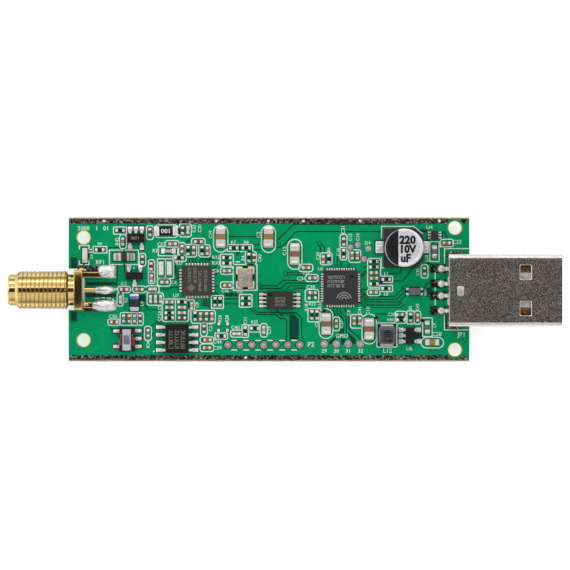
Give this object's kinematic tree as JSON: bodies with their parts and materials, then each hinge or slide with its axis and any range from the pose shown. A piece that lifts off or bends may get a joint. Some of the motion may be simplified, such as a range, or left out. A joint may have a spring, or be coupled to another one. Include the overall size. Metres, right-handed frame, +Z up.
{
  "type": "spectrum analyzer receiver board",
  "caption": "Bare USB radio receiver board used as a spectrum analyzer: coaxial jack at one end, USB plug at the other, chips and small parts between.",
  "frame": {"origin": "centre of the whole object in X and Y, at the level of its lowest point, the jack's flange", "axes": "+X runs from the coaxial jack to the USB plug, +Z is up from the board's component side"},
  "size_m": [0.092, 0.024, 0.0086],
  "materials": {
    "solder_mask_green": "glossy green solder mask over copper and glass laminate",
    "tinned_copper": "dull tin plating",
    "gold_plate": "bright gold plating over brass",
    "solder": "bright lumpy solder",
    "nickel_plate": "matte nickel plating",
    "white_insulator": "smooth white fluoropolymer",
    "grey_plastic": "moulded grey plastic",
    "chip_moulding": "fine matte moulding compound",
    "black_plastic": "moulded black plastic",
    "black_rubber": "plain",
    "foil_roll": "wound foil and paper",
    "lid_metal": "satin",
    "can_aluminium": "satin with a bright rim",
    "ferrite": "pressed ferrite powder",
    "grey_ferrite": "ground grey ferrite",
    "enamelled_wire": "red enamel on copper",
    "white_ceramic": "plain",
    "clear_resin": "cloudy resin",
    "brown_ceramic": "fired brown ceramic",
    "pale_ceramic": "fired pale ceramic",
    "silk_print": "white epoxy ink",
    "black_glaze": "black glass coat"
  },
  "bodies": {
    "root": {"amplifier_leads": "tinned_copper", "amplifier_package": "chip_moulding", "antenna_choke_body": "black_plastic", "balun_base": "black_plastic", "balun_core": "grey_ferrite", "balun_leads": "solder", "balun_windings": "enamelled_wire", "bead_caps": "solder", "bias_switch_package": "chip_moulding", "brown_capacitor_bodies": "brown_ceramic", "bulk_capacitor_base": "black_plastic", "bulk_capacitor_can": "can_aluminium", "bulk_capacitor_roll": "foil_roll", "bulk_capacitor_seal": "black_rubber", "bulk_capacitor_tabs": "solder", "ceramic_inductor_bodies": "white_ceramic", "ceramic_inductor_caps": "solder", "choke_terminals": "solder", "circuit_board": "solder_mask_green", "converter_package": "chip_moulding", "demodulator_package": "chip_moulding", "demodulator_pads": "tinned_copper", "ferrite_bead_bodies": "grey_ferrite", "ground_strips": "tinned_copper", "header_pads": "solder", "hole_rims": "gold_plate", "jack_body": "gold_plate", "jack_contact": "gold_plate", "jack_insulator": "white_insulator", "jack_solder": "solder", "large_capacitor_bodies": "brown_ceramic", "large_capacitor_caps": "solder", "logic_gate_package": "chip_moulding", "marked_resistor_bodies": "black_glaze", "marked_resistor_caps": "solder", "memory_leads": "tinned_copper", "memory_package": "chip_moulding", "oscillator_base": "gold_plate", "oscillator_lid": "lid_metal", "oscillator_pads": "solder", "pale_capacitor_bodies": "pale_ceramic", "port_and_test_pads": "solder", "power_inductor_body": "ferrite", "power_inductor_terminals": "solder", "resistor_bodies": "black_glaze", "resistor_caps": "solder", "small_capacitor_caps": "solder", "small_package_leads": "tinned_copper", "status_light_base": "white_ceramic", "status_light_lens": "clear_resin", "surge_bead_body": "ferrite", "transistor_package": "chip_moulding", "tuner_package": "chip_moulding", "tuner_pads": "tinned_copper", "usb_choke_body": "grey_ferrite", "usb_contacts": "gold_plate", "usb_insulator": "grey_plastic", "usb_pads": "tinned_copper", "usb_shell": "nickel_plate", "usb_solder": "solder"}
  },
  "joints": []
}
